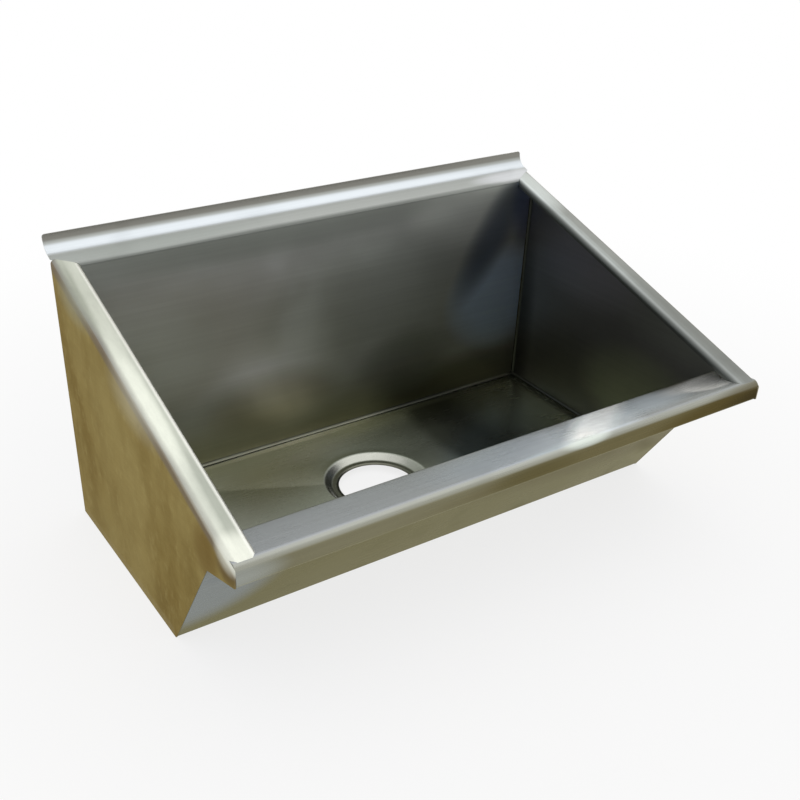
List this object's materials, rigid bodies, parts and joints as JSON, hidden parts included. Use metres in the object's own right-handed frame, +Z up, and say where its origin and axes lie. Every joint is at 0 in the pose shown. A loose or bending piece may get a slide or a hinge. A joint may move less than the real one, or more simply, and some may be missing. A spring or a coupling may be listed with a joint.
{
  "type": "wall-hung wash trough",
  "caption": "Wall-hung stainless steel wash trough with a sloping rim, short upstand, front ledge and a pressed waste recess.",
  "frame": {"origin": "middle of the base: halfway across the width, halfway from the wall plane to the lip's face, at the panels' lower edges", "axes": "+X to the right as seen by a user, +Y towards the wall, +Z up"},
  "size_m": [0.6, 0.395, 0.3125],
  "materials": {
    "brushed_sheet": "brushed along the width",
    "end_sheet": "brushed, warm tint",
    "weld": "ground and polished bead",
    "hanger": "mill finish"
  },
  "bodies": {
    "root": {"back_panel": "brushed_sheet", "floor_pan": "brushed_sheet", "front_panel": "brushed_sheet", "left_end_panel": "end_sheet", "right_end_panel": "end_sheet", "left_seam_weld": "weld", "right_seam_weld": "weld", "rear_seam_weld": "weld", "front_seam_weld": "weld", "hook_rail": "hanger", "wall_rail": "hanger", "left_spacer": "hanger", "right_spacer": "hanger"}
  },
  "joints": []
}
